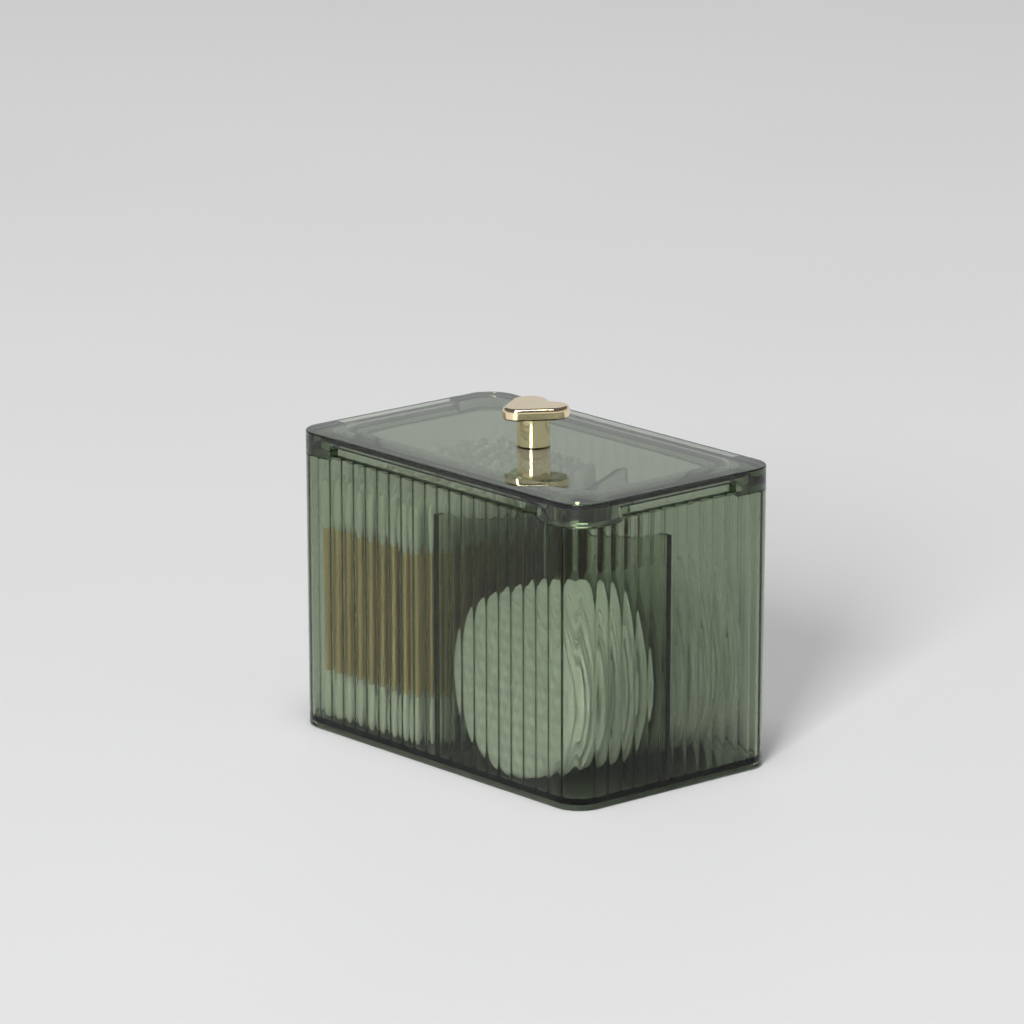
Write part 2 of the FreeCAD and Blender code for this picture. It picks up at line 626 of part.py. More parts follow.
def buildWasher():
    """Flat washer between the screw's head and the lid."""
    body = newBody("knob_washer")
    ring = newSketch(body, "WasherRing", "XY_Plane", lidBottom)
    addCircle(ring, "outer", "0", "0", "(Sizes.washer_diameter / 2)")
    addCircle(ring, "inner", "0", "0", "(Sizes.thread_diameter / 2 + Sizes.screw_clearance)")
    addPad(body, "WasherBlank", ring, "Sizes.washer_thickness", reverse=True)
    return body


def buildScrew():
    """Pan head screw from under the lid into the stem, with a cross recess."""
    body = newBody("knob_screw")
    headTop = "(%s - Sizes.washer_thickness)" % lidBottom
    shank = newSketch(body, "ShankRound", "XY_Plane", headTop)
    addCircle(shank, "shank", "0", "0", "(Sizes.thread_diameter / 2)")
    reach = "(Sizes.washer_thickness + Sizes.lid_thickness + Sizes.thread_reach)"
    addPad(body, "Shank", shank, reach)
    seat = newSketch(body, "HeadRound", "XY_Plane", headTop)
    addCircle(seat, "head", "0", "0", "(Sizes.head_diameter / 2)")
    head = addPad(body, "PanHead", seat, "Sizes.head_height", reverse=True)
    headUnder = number("%s - Sizes.head_height" % headTop)
    addFillet(body, "PanRound", head, lambda box: isLevel(box, headUnder), "Sizes.head_round")
    arms = (("Sizes.recess_length", "Sizes.recess_width"), ("Sizes.recess_width", "Sizes.recess_length"))
    for index, (across, along) in enumerate(arms, start=1):
        cross = newSketch(body, "CrossArm%d" % index, "XY_Plane", "(%s - Sizes.head_height)" % headTop)
        addRectangle(cross, "arm", "0", "0", across, along)
        addPocket(body, "CrossSlot%d" % index, cross, "Sizes.recess_depth", upward=True)
    return body


def buildTips(name, bottom):
    """The swabs' packed cotton tips at one end, as a plain soft block."""
    body = newBody(name)
    block = newSketch(body, name + "Outline", "XY_Plane", bottom)
    across = "(%s - %s)" % (swabRight, swabLeft)
    addRectangle(block, "block", "((%s + %s) / 2)" % (swabLeft, swabRight), "0", across, swabDepth)
    tips = addPad(body, name + "Block", block, "Sizes.swab_tip_length")
    upright = number("Sizes.swab_tip_length")
    corner = "(%s - Sizes.contents_clearance)" % innerRadius
    addFillet(body, name + "Round", tips, lambda box: near(box.ZLength, upright), corner)
    return body


def buildSticks():
    """The swabs' sticks, from the lower tips to the upper ones, in rows that are offset by half a pitch.

    Each is a prism with enough sides to stand for a round stick. The round corners of the tips hold none.
    """
    pitch = "(Sizes.swab_tip_diameter + Sizes.swab_gap)"
    rowPitch = "(Sizes.swab_tip_diameter - Sizes.swab_row_gap)"
    columns = int(number("(%s - %s - Sizes.swab_tip_diameter) / %s" % (swabRight, swabLeft, pitch))) + 1
    rows = int(number("(%s - Sizes.swab_tip_diameter) / %s" % (swabDepth, rowPitch))) + 1
    sticks = []
    for row in range(rows):
        offset = row % 2
        for column in range(columns - offset):
            if row in (0, rows - 1) and column in (0, columns - offset - 1):
                continue
            stick = doc.addObject("Part::Prism", "stick_%02d_%02d" % (row + 1, column + 1))
            stick.setExpression("Polygon", "Sizes.stick_sides")
            stick.setExpression("Circumradius", "Sizes.stick_diameter / 2")
            stick.setExpression("Height", stickLength)
            across = "%s + Sizes.swab_tip_diameter / 2 + %s * %s" % (swabLeft, column + offset / 2, pitch)
            along = "-%s / 2 + Sizes.swab_tip_diameter / 2 + %d * %s" % (swabDepth, row, rowPitch)
            stick.setExpression("Placement.Base.x", across)
            stick.setExpression("Placement.Base.y", along)
            stick.setExpression("Placement.Base.z", stickFoot)
            sticks.append(stick)
    bundle = doc.addObject("Part::Compound", "swab_sticks")
    bundle.Label = "swab_sticks"
    bundle.Links = sticks
    doc.recompute()
    return bundle


def buildPads(name, start, end):
    """A stack of round pads on edge: as many equal discs as fit from start to end, less some slack.

    A pad's soft rim is a polygon with enough sides to stand for a round one.
    """
    middle = "((Sizes.divider_thickness / 2 + %s / 2) / 2)" % innerLength
    radius = "((%s / 2 - Sizes.divider_thickness / 2) / 2 - Sizes.pad_clearance)" % innerLength
    pitch = "(Sizes.pad_thickness + Sizes.pad_gap)"
    count = int(number("(%s - %s - Sizes.pad_slack) / %s" % (end, start, pitch)))
    discs = []
    for index in range(count):
        disc = doc.addObject("Part::Prism", "%s_%02d" % (name, index + 1))
        disc.setExpression("Polygon", "Sizes.pad_sides")
        disc.setExpression("Circumradius", radius)
        disc.setExpression("Height", "Sizes.pad_thickness")
        disc.Placement.Rotation = FreeCAD.Rotation(FreeCAD.Vector(1, 0, 0), -90)
        disc.setExpression("Placement.Base.x", middle)
        disc.setExpression("Placement.Base.y", "%s + %d * %s" % (start, index, pitch))
        disc.setExpression("Placement.Base.z", "%s + %s" % (floorTop, radius))
        discs.append(disc)
    stack = doc.addObject("Part::Compound", name)
    stack.Label = name
    stack.Links = discs
    doc.recompute()
    return stack


parts = [
    buildTray(),
    buildCrossDivider(),
    buildLongDivider(),
    buildLid(),
    buildHeart(),
    buildStem(),
    buildWasher(),
    buildScrew(),
]

parts.append(buildTips("swab_tips_lower", floorTop))
parts.append(buildSticks())
parts.append(buildTips("swab_tips_upper", stickHead))

wallFront = "(-%s / 2 + Sizes.pad_clearance)" % innerWidth
wallBack = "(%s / 2 - Sizes.pad_clearance)" % innerWidth
dividerFront = "(%s - Sizes.divider_thickness / 2 - Sizes.contents_clearance)" % longDividerY
dividerBack = "(%s + Sizes.divider_thickness / 2 + Sizes.contents_clearance)" % longDividerY
parts.append(buildPads("pads_front", wallFront, dividerFront))
parts.append(buildPads("pads_back", dividerBack, wallBack))

doc.recompute()
for item in doc.Objects:
    if "Invalid" in item.State or "Error" in item.State:
        raise RuntimeError("%s did not compute: %s" % (item.Name, item.State))
for item in parts:
    if item.Shape.isNull() or not item.Shape.isValid():
        raise RuntimeError(item.Label + " has no valid shape")
    item.Shape.exportStep("parts/%s.step" % item.Label)
    report = (item.Label, len(item.Shape.Solids), item.Shape.Volume, item.Shape.BoundBox)
    print("%-16s solids %2d volume %9.1f box %s" % report)
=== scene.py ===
import math
import random

import bmesh
import bpy
from mathutils import Matrix, Vector, noise


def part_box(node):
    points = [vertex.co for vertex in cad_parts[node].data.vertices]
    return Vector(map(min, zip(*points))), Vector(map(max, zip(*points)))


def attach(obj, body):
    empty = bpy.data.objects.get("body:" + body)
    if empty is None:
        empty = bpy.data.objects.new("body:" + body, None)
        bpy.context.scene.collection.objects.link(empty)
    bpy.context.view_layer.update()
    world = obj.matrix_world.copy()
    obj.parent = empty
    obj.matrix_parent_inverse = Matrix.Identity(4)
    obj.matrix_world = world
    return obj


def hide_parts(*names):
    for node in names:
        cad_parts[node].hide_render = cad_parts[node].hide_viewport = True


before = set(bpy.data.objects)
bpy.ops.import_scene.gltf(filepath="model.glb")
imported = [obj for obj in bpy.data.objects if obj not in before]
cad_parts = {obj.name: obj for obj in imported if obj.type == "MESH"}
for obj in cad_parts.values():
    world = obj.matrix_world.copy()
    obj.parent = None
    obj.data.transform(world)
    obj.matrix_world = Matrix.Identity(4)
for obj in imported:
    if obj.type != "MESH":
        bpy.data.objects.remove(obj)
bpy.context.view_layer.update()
mm = 0.001
sameSpot = 0.0001 * mm  # points nearer than this are one
print("frame loaded:", len(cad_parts), "nodes")


cameraSizes = {
    "azimuth": 49.10,  # degrees round the box, 0 looks along +Y
    "elevation": 14.40,
    "distance": 1971.7 * mm,
    "aside": -6.45 * mm,
    "above": 24.98 * mm,
    "targetHeight": 46.5 * mm,
    "focalPixels": 6547.5,
    "framePixels": 1024,
    "sensor": 36.0,
    "clipEnd": 50.0,
}


def directionTo(azimuth, elevation):
    turn, tilt = math.radians(azimuth), math.radians(elevation)
    return Vector((math.sin(turn) * math.cos(tilt), -math.cos(turn) * math.cos(tilt), math.sin(tilt)))


def makeCamera():
    turn = math.radians(cameraSizes["azimuth"])
    back = directionTo(cameraSizes["azimuth"], cameraSizes["elevation"])
    right = Vector((math.cos(turn), math.sin(turn), 0))
    up = back.cross(right)
    target = Vector((0, 0, cameraSizes["targetHeight"]))
    place = target + back * cameraSizes["distance"] + right * cameraSizes["aside"] + up * cameraSizes["above"]
    data = bpy.data.cameras.new("frontCamera")
    data.sensor_width = cameraSizes["sensor"]
    data.lens = cameraSizes["focalPixels"] * cameraSizes["sensor"] / cameraSizes["framePixels"]
    data.clip_end = cameraSizes["clipEnd"]
    camera = bpy.data.objects.new("frontCamera", data)
    camera.matrix_world = Matrix((right, up, back)).transposed().to_4x4()
    camera.matrix_world.translation = place
    bpy.context.scene.collection.objects.link(camera)
    bpy.context.scene.camera = camera


makeCamera()


def newPiece(name, verts, faces, material, body, nodes, slot):
    mesh = bpy.data.meshes.new(name)
    mesh.from_pydata(verts, [], faces)
    mesh.validate()
    mesh.materials.append(material)
    piece = bpy.data.objects.new(name, mesh)
    bpy.context.scene.collection.objects.link(piece)
    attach(piece, body)
    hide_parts(*nodes)
    return piece


def smoothBelow(piece, degrees):
    piece.data.polygons.foreach_set("use_smooth", [True] * len(piece.data.polygons))
    piece.data.set_sharp_from_angle(angle=math.radians(degrees))
    piece.data.update()


def arcSteps(count):
    return [math.pi / 2 * step / count for step in range(count + 1)]


# A station is one place on the way round a rounded rectangle: the corner point its arc turns about, as a
# share of the straight half sides, and its outward normal. What a piece adds to it comes after those four.
def stationPoint(station, halfX, halfY, radius):
    ux, uy, nx, ny = station[:4]
    return ux * (halfX - radius) + nx * radius, uy * (halfY - radius) + ny * radius


def ringRound(stations, halfX, halfY, radius, offset, level):
    # offset and level are each a number or a function of the station
    points = []
    for station in stations:
        out = offset(station) if callable(offset) else offset
        z = level(station) if callable(level) else level
        x, y = stationPoint(station, halfX + out, halfY + out, radius + out)
        points.append((x, y, z))
    return points


sides = (  # straight sides in turn, with the corner that follows each
    {"normal": (0, -1), "along": (1, 0), "corner": (1, -1), "start": 270},
    {"normal": (1, 0), "along": (0, 1), "corner": (1, 1), "start": 0},
    {"normal": (0, 1), "along": (-1, 0), "corner": (-1, 1), "start": 90},
    {"normal": (-1, 0), "along": (0, -1), "corner": (-1, -1), "start": 180},
)


def joinRings(rings):
    # Quads between rings that run once round and hold the same number of points.
    count = len(rings[0])
    verts = [point for ring in rings for point in ring]
    faces = []
    for ring in range(len(rings) - 1):
        for i in range(count):
            j = (i + 1) % count
            a, b = ring * count, (ring + 1) * count
            faces.append((a + i, a + j, b + j, b + i))
    return verts, faces


def closeGaps(piece):
    # Joins points that fall together and turns every face outward.
    mesh = bmesh.new()
    mesh.from_mesh(piece.data)
    bmesh.ops.remove_doubles(mesh, verts=mesh.verts, dist=sameSpot)
    bmesh.ops.recalc_face_normals(mesh, faces=mesh.faces)
    mesh.to_mesh(piece.data)
    mesh.free()


def newMaterial(name):
    material = bpy.data.materials.new(name)
    material.use_nodes = True
    return material, material.node_tree, material.node_tree.nodes["Principled BSDF"]


def addNoise(tree, scale, detail, roughness=0.5, stretch=(1, 1, 1)):
    place = tree.nodes.new("ShaderNodeTexCoord")
    mapping = tree.nodes.new("ShaderNodeMapping")
    mapping.inputs["Scale"].default_value = stretch
    texture = tree.nodes.new("ShaderNodeTexNoise")
    texture.inputs["Scale"].default_value = scale
    texture.inputs["Detail"].default_value = detail
    texture.inputs["Roughness"].default_value = roughness
    tree.links.new(place.outputs["Object"], mapping.inputs["Vector"])
    tree.links.new(mapping.outputs["Vector"], texture.inputs["Vector"])
    return texture.outputs["Fac"]


def addRange(tree, source, low, high):
    spread = tree.nodes.new("ShaderNodeMapRange")
    spread.inputs["To Min"].default_value = low
    spread.inputs["To Max"].default_value = high
    tree.links.new(source, spread.inputs["Value"])
    return spread.outputs["Result"]


def addBump(tree, source, shader, distance, strength=1.0):
    bump = tree.nodes.new("ShaderNodeBump")
    bump.inputs["Distance"].default_value = distance
    bump.inputs["Strength"].default_value = strength
    tree.links.new(source, bump.inputs["Height"])
    tree.links.new(bump.outputs["Normal"], shader.inputs["Normal"])


def addRamp(tree, source, shader, dark, light, low=0.3, high=0.7):
    ramp = tree.nodes.new("ShaderNodeValToRGB")
    ramp.color_ramp.elements[0].position = low
    ramp.color_ramp.elements[0].color = (*dark, 1)
    ramp.color_ramp.elements[1].position = high
    ramp.color_ramp.elements[1].color = (*light, 1)
    tree.links.new(source, ramp.inputs["Fac"])
    tree.links.new(ramp.outputs["Color"], shader.inputs["Base Color"])


tintedPlastic = {
    "ior": 1.49,
    "absorption": (0.697, 0.742, 0.655),  # what passes, of each colour
    "density": 745.0,
    "lidDensity": 520.0,
    "mirror": (0.35, 0.35, 0.35),  # how much the walls and dividers mirror, head on
    "lidMirror": (1.0, 1.0, 1.0),
    "polish": (0.005, 0.025),  # roughness from the clean to the handled spots
    "polishScale": 60,
    "ripple": 0.002 * mm,  # the moulding's faint waves
    "rippleScale": 140,
}


def makeTintedPlastic(name, density, mirror):
    material, tree, shader = newMaterial(name)
    shader.inputs["Base Color"].default_value = (1, 1, 1, 1)
    shader.inputs["Transmission Weight"].default_value = 1
    shader.inputs["IOR"].default_value = tintedPlastic["ior"]
    shader.inputs["Specular Tint"].default_value = (*mirror, 1)
    handled = addNoise(tree, tintedPlastic["polishScale"], detail=3)
    tree.links.new(addRange(tree, handled, *tintedPlastic["polish"]), shader.inputs["Roughness"])
    ripples = addNoise(tree, tintedPlastic["rippleScale"], detail=1)
    addBump(tree, ripples, shader, tintedPlastic["ripple"])
    depth = tree.nodes.new("ShaderNodeVolumeAbsorption")
    depth.inputs["Color"].default_value = (*tintedPlastic["absorption"], 1)
    depth.inputs["Density"].default_value = density
    tree.links.new(depth.outputs["Volume"], tree.nodes["Material Output"].inputs["Volume"])
    return material


goldLook = {
    "tones": ((0.93, 0.75, 0.46), (0.97, 0.82, 0.56)),  # worn and clean
    "roughness": (0.03, 0.09),
    "wearScale": 90,
    "scratches": 0.002 * mm,
    "scratchScale": 260,
}


def makeGold():
    look = goldLook
    material, tree, shader = newMaterial("polishedGold")
    shader.inputs["Metallic"].default_value = 1
    wear = addNoise(tree, look["wearScale"], detail=4)
    addRamp(tree, wear, shader, *look["tones"])
    tree.links.new(addRange(tree, wear, *look["roughness"]), shader.inputs["Roughness"])
    scratches = addNoise(tree, look["scratchScale"], detail=2)
    addBump(tree, scratches, shader, look["scratches"])
    return material


steelLook = {
    "tones": ((0.42, 0.41, 0.39), (0.56, 0.55, 0.52)),
    "roughness": (0.25, 0.42),
    "grainScale": 400,
    "stretch": (1, 1, 0.1),
}


def makeSteel():
    look = steelLook
    material, tree, shader = newMaterial("platedSteel")
    shader.inputs["Metallic"].default_value = 1
    grain = addNoise(tree, look["grainScale"], detail=3, stretch=look["stretch"])
    addRamp(tree, grain, shader, *look["tones"])
    tree.links.new(addRange(tree, grain, *look["roughness"]), shader.inputs["Roughness"])
    return material


cottonLook = {
    "woundTones": ((0.80, 0.80, 0.76), (0.92, 0.92, 0.88)),  # of the swabs
    "woundScale": 1400,
    "pressedTones": ((0.76, 0.77, 0.73), (0.88, 0.89, 0.86)),  # of the pads
    "pressedScale": 900,
    "roughness": 0.95,
    "gloss": 0.2,
    "fuzz": 0.25,
    "fuzzRoughness": 0.6,
    "fluff": 0.25 * mm,
    "fluffStrength": 0.7,
}


def makeCotton(name, tones, scale):
    look = cottonLook
    material, tree, shader = newMaterial(name)
    fluff = addNoise(tree, scale, detail=6, roughness=0.65)
    addRamp(tree, fluff, shader, *tones)
    shader.inputs["Roughness"].default_value = look["roughness"]
    shader.inputs["Specular IOR Level"].default_value = look["gloss"]
    shader.inputs["Sheen Weight"].default_value = look["fuzz"]
    shader.inputs["Sheen Roughness"].default_value = look["fuzzRoughness"]
    addBump(tree, fluff, shader, look["fluff"], look["fluffStrength"])
    return material


bambooLook = {
    "tones": ((0.62, 0.44, 0.23), (0.86, 0.69, 0.42)),
    "roughness": 0.6,
    "grainScale": 900,
    "stretch": (1, 1, 0.03),  # the grain runs up the stick
    "grain": 0.05 * mm,
}


def makeBamboo():
    look = bambooLook
    material, tree, shader = newMaterial("bambooStick")
    grain = addNoise(tree, look["grainScale"], detail=4, roughness=0.6, stretch=look["stretch"])
    addRamp(tree, grain, shader, *look["tones"])
    shader.inputs["Roughness"].default_value = look["roughness"]
    addBump(tree, grain, shader, look["grain"])
    return material


trayPlastic = makeTintedPlastic("tintedTray", tintedPlastic["density"], tintedPlastic["mirror"])
lidPlastic = makeTintedPlastic("tintedLid", tintedPlastic["lidDensity"], tintedPlastic["lidMirror"])
dividerPlastic = makeTintedPlastic("tintedDivider", tintedPlastic["density"], tintedPlastic["mirror"])
polishedGold = makeGold()
platedSteel = makeSteel()
swabCotton = makeCotton("woundCotton", cottonLook["woundTones"], cottonLook["woundScale"])
padCotton = makeCotton("pressedCotton", cottonLook["pressedTones"], cottonLook["pressedScale"])
bambooStick = makeBamboo()
print("materials made")


traySizes = {
    "wall": 3.0 * mm,
    "cornerRadius": 9.5 * mm,
    "draft": 0.35,  # degrees
    "floorTop": 3.3 * mm,
    "floorRound": 0.35 * mm,
    "footHeight": 1.5 * mm,
    "footWidth": 2.6 * mm,
    "footRound": 0.9 * mm,
    "rimRound": 0.25 * mm,
    "support": 0.5 * mm,  # between a round and the flat beside it
    "fluteDepth": 0.38 * mm,
    "fluteLand": 0.3 * mm,
    "longFlutes": 20,
    "shortFlutes": 12,
    "cornerFlutes": 2,
    "fluteSteps": 10,
    "seatReach": 18.0 * mm,
    "seatDrop": 1.5 * mm,
    "seatLead": 1.2 * mm,
    "seatStep": 0.01 * mm,
    "footSteps": 6,
    "roundSteps": 3,
    "sharpAngle": 34,  # degrees, a steeper edge stays sharp
}


def fluteRadius(chord, depth):
    return (chord ** 2 / 4 + depth ** 2) / (2 * depth)


def straightFlutes(half, count, extras):
    # Distances along a straight side with the flute's depth at each, from one end to the other.
    s = traySizes
    pitch = 2 * half / count
    chord = pitch - s["fluteLand"]
    radius = fluteRadius(chord, s["fluteDepth"])

    def depthAt(along):
        middle = (math.floor((along + half) / pitch) + 0.5) * pitch - half
        off = abs(along - middle)
        if off >= chord / 2:
            return 0.0
        return math.sqrt(radius ** 2 - off ** 2) - radius + s["fluteDepth"]

    places = list(extras)
    for flute in range(count):
        start = -half + flute * pitch + s["fluteLand"] / 2
        places += [start + chord * step / s["fluteSteps"] for step in range(s["fluteSteps"] + 1)]
    return [(along, depthAt(along)) for along in sorted(places)]


def cornerFlutes(radius):
    # Angles round a corner, from 0 to 90 degrees, with the flute's depth at each.
    s = traySizes
    half = math.pi / 4 / s["cornerFlutes"]
    edge = s["fluteLand"] / 2 / radius
    chord = 2 * radius * math.sin(half) - s["fluteLand"]
    sagitta = s["fluteDepth"] + radius * (1 - math.cos(half))
    groove = (chord ** 2 / 4 + sagitta ** 2) / (2 * sagitta)
    centre = radius + s["fluteDepth"] - groove
    places = []
    for flute in range(s["cornerFlutes"]):
        middle = (2 * flute + 1) * half
        for step in range(s["fluteSteps"] + 1):
            off = (half - edge) * (2 * step / s["fluteSteps"] - 1)
            reach = centre * math.cos(off) + math.sqrt(groove ** 2 - (centre * math.sin(off)) ** 2)
            places.append((middle + off, max(reach - radius, 0)))
    return places


def buildTray():
    s = traySizes
    halfX, halfY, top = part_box("box_shell")[1]
    innerX, innerY, innerR = halfX - s["wall"], halfY - s["wall"], s["cornerRadius"] - s["wall"]
    cutX, cutY = halfX - s["seatReach"] + s["seatLead"], halfY - s["seatReach"] + s["seatLead"]
    straight = (halfX - s["cornerRadius"], halfY - s["cornerRadius"])

    def seatPlaces(cut):
        near = (cut - s["seatLead"], cut - s["seatStep"], cut + s["seatStep"])
        return [sign * place for place in near for sign in (-1, 1)]

    stations = []  # each with its flute's depth and the height of the rim there
    for side in sides:
        nx, ny = side["normal"]
        ax, ay = side["along"]
        long = ax != 0
        half = straight[0] if long else straight[1]
        cut = cutX if long else cutY
        count = s["longFlutes"] if long else s["shortFlutes"]
        for along, depth in straightFlutes(half, count, seatPlaces(cut)):
            share = along / half
            past = abs(along) - cut
            drop = s["seatDrop"] if past > 0 else max(0.0, past + s["seatLead"])
            stations.append((ax * share + nx, ay * share + ny, nx, ny, depth, top - drop))
        cx, cy = side["corner"]
        for angle, depth in cornerFlutes(innerR):
            turn = math.radians(side["start"]) + angle
            stations.append((cx, cy, math.cos(turn), math.sin(turn), depth, top - s["seatDrop"]))

    def ring(offset, level):
        return ringRound(stations, innerX, innerY, innerR, offset, level)

    def fluteAt(station):
        return station[4]

    def rimAt(station):
        return station[5]

    def outerAt(z):
        return s["wall"] - (top - z) * math.tan(math.radians(s["draft"]))

    foot, rim, fillet, gap = s["footRound"], s["rimRound"], s["floorRound"], s["support"]
    rings = [
        ring(outerAt(0) - s["footWidth"], s["footHeight"]),
        ring(outerAt(0) - s["footWidth"], 0),
    ]
    for angle in arcSteps(s["footSteps"]):
        rings.append(ring(outerAt(foot) - foot + foot * math.sin(angle), foot - foot * math.cos(angle)))
    rings.append(ring(outerAt(foot + gap), foot + gap))
    rings.append(ring(lambda st: outerAt(rimAt(st) - rim - gap), lambda st: rimAt(st) - rim - gap))
    for angle in arcSteps(s["roundSteps"]):
        rings.append(ring(
            lambda st: outerAt(rimAt(st)) - rim + rim * math.cos(angle),
            lambda st: rimAt(st) - rim + rim * math.sin(angle),
        ))
    for angle in arcSteps(s["roundSteps"]):
        rings.append(ring(
            lambda st: fluteAt(st) + rim - rim * math.sin(angle),
            lambda st: rimAt(st) - rim + rim * math.cos(angle),
        ))
    rings.append(ring(fluteAt, lambda st: rimAt(st) - rim - gap))
    rings.append(ring(fluteAt, s["floorTop"] + fillet + gap))
    for angle in arcSteps(s["roundSteps"]):
        rings.append(ring(
            lambda st: fluteAt(st) - fillet + fillet * math.cos(angle),
            s["floorTop"] + fillet - fillet * math.sin(angle),
        ))
    rings.append(ring(lambda st: fluteAt(st) - fillet - gap / 2, s["floorTop"]))

    verts, faces = joinRings(rings)
    count = len(stations)
    faces.append(tuple(range(count)))
    faces.append(tuple(range(len(verts) - count, len(verts))))
    tray = newPiece("tray", verts, faces, trayPlastic, "box", ["box_shell"], "tray_plastic")
    closeGaps(tray)
    smoothBelow(tray, s["sharpAngle"])


buildTray()
print("tray built")


lidSizes = {
    "thickness": 3.0 * mm,
    "crownDrop": 0.4 * mm,
    "crownBorder": 11.5 * mm,
    "crownRadius": 8.0 * mm,
    "crownBlend": 0.7 * mm,
    "edgeRound": 0.35 * mm,
    "blockRound": 0.2 * mm,
    "blockReach": 17.5 * mm,
    "blockLead": 1.2 * mm,
    "blockStep": 0.01 * mm,
    "blockSupport": 0.1 * mm,  # between a block's round and the flat above it
    "lipThickness": 3.0 * mm,
    "lipAir": 0.2 * mm,  # between the lip and the wall
    "lipInnerRadius": 8.0 * mm,
    "seatAir": 0.06 * mm,  # the film of air between block and seat
    "holeRadius": 2.2 * mm,
    "cornerSteps": 18,
    "sideSteps": 12,
    "sideReach": 0.98,  # share of a side between the blocks that its steps cover
    "edgeSteps": 5,
    "roundSteps": 3,
    "sharpAngle": 34,  # degrees
}


def buildLid():
    s = lidSizes
    wall, corner = traySizes["wall"], traySizes["cornerRadius"]
    low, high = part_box("lid")
    halfX, halfY, top, foot = high.x, high.y, high.z, low.z + s["seatAir"]
    under = top - s["thickness"]
    innerX, innerY, innerR = halfX - wall, halfY - wall, corner - wall
    straight = (halfX - corner, halfY - corner)

    def bottomAt(past):
        # Height of the lid's underside, by how far a place is past the end of its block.
        if past <= 0:
            return under
        return max(foot, foot + s["blockLead"] - past)

    stations = []  # each with the height of the lid's underside there
    for side in sides:
        nx, ny = side["normal"]
        ax, ay = side["along"]
        long = ax != 0
        half = straight[0] if long else straight[1]
        end = (halfX if long else halfY) - s["blockReach"]
        near = (end - s["blockStep"], end + s["blockStep"], end + s["blockLead"], half)
        places = [sign * place for sign in (-1, 1) for place in near]
        for step in range(s["sideSteps"] + 1):
            places.append(end * (2 * step / s["sideSteps"] - 1) * s["sideReach"])
        for along in sorted(places):
            bottom = bottomAt(abs(along) - end)
            stations.append((ax * along / half + nx, ay * along / half + ny, nx, ny, bottom))
        cx, cy = side["corner"]
        for step in range(1, s["cornerSteps"]):
            turn = math.radians(side["start"] + 90 * step / s["cornerSteps"])
            stations.append((cx, cy, math.cos(turn), math.sin(turn), foot))

    def ring(offset, level):
        return ringRound(stations, innerX, innerY, innerR, offset, level)

    def footAt(station):
        return station[4]

    def contour(grow, level):
        border = s["crownBorder"]
        return ringRound(stations, halfX - border, halfY - border, s["crownRadius"], grow, level)

    def lipInner(grow, level):
        radius = s["lipInnerRadius"]
        bendX = innerX - s["lipAir"] - s["lipThickness"] - radius
        bendY = innerY - s["lipAir"] - s["lipThickness"] - radius
        points = []
        for station in stations:
            x, y = stationPoint(station, innerX, innerY, innerR)
            middle = Vector((max(-bendX, min(bendX, x)), max(-bendY, min(bendY, y))))
            reach = (Vector((x, y)) - middle).normalized() * (radius + grow)
            points.append((middle.x + reach.x, middle.y + reach.y, level))
        return points

    def hole(level):
        points = []
        for x, y, z in contour(0, level):
            scale = s["holeRadius"] / math.hypot(x, y)
            points.append((x * scale, y * scale, level))
        return points

    edge, small, blend, gap = s["edgeRound"], s["blockRound"], s["crownBlend"], traySizes["support"]
    slope = s["crownDrop"] / s["crownBorder"]
    rim = top - s["crownDrop"]
    rings = [
        hole(top),
        contour(-blend, top),
        contour(0, top - slope * blend / 4),
        contour(blend, top - slope * blend),
        ring(wall - edge - gap, rim + slope * (edge + gap)),
    ]
    for angle in arcSteps(s["edgeSteps"]):
        rings.append(ring(wall - edge + edge * math.sin(angle), rim - edge + edge * math.cos(angle)))
    rings.append(ring(wall, rim - edge - gap))
    rings.append(ring(wall, lambda st: footAt(st) + small + s["blockSupport"]))
    for angle in arcSteps(s["roundSteps"]):
        rings.append(ring(
            wall - small + small * math.cos(angle),
            lambda st: footAt(st) + small - small * math.sin(angle),
        ))
    rings.append(ring(-s["lipAir"], footAt))
    rings.append(ring(-s["lipAir"], lambda st: min(footAt(st), foot + small)))
    rings.append(ring(-s["lipAir"] - small, foot))
    rings.append(lipInner(small, foot))
    rings.append(lipInner(0, foot + small))
    rings.append(lipInner(0, under))
    rings.append(contour(0, under))
    rings.append(hole(under))
    rings.append(hole(top))

    verts, faces = joinRings(rings)
    lid = newPiece("lidShell", verts, faces, lidPlastic, "lid", ["lid"], "lid_plastic")
    closeGaps(lid)
    smoothBelow(lid, s["sharpAngle"])


buildLid()
print("lid built")


dividerSizes = {
    "ear": 3.5 * mm,
    "blend": 5.0 * mm,
    "crossScoop": 6.3 * mm,
    "longScoop": 5.0 * mm,
    "halfThickness": 0.98 * mm,
    "footAir": 0.06 * mm,
    "housingAir": 0.03 * mm,  # where the long divider meets the cross divider
    "bevel": 0.12 * mm,
    "bevelSteps": 2,
    "bevelAngle": 50,  # degrees, a flatter edge gets none
    "scoopSteps": 40,
    "sharpAngle": 34,
}


def scoopProfile(start, end, foot, top, scoop):
    # A divider seen from its side, as (along, up) points with the foot first: a round scoop between two ears.
    s = dividerSizes
    left, right = start + s["ear"], end - s["ear"]
    half, middle = (right - left) / 2, (right + left) / 2
    radius = (half ** 2 + scoop ** 2) / (2 * scoop)
    points = [(start, foot), (end, foot), (end, top)]
    for step in range(s["scoopSteps"] + 1):
        along = right + s["blend"] / 2 - (right - left + s["blend"]) * step / s["scoopSteps"]
        off = min(abs(along - middle), half)
        dip = math.sqrt(radius ** 2 - off ** 2) - radius + scoop
        points.append((along, top - dip))
    points.append((start, top))
    return points


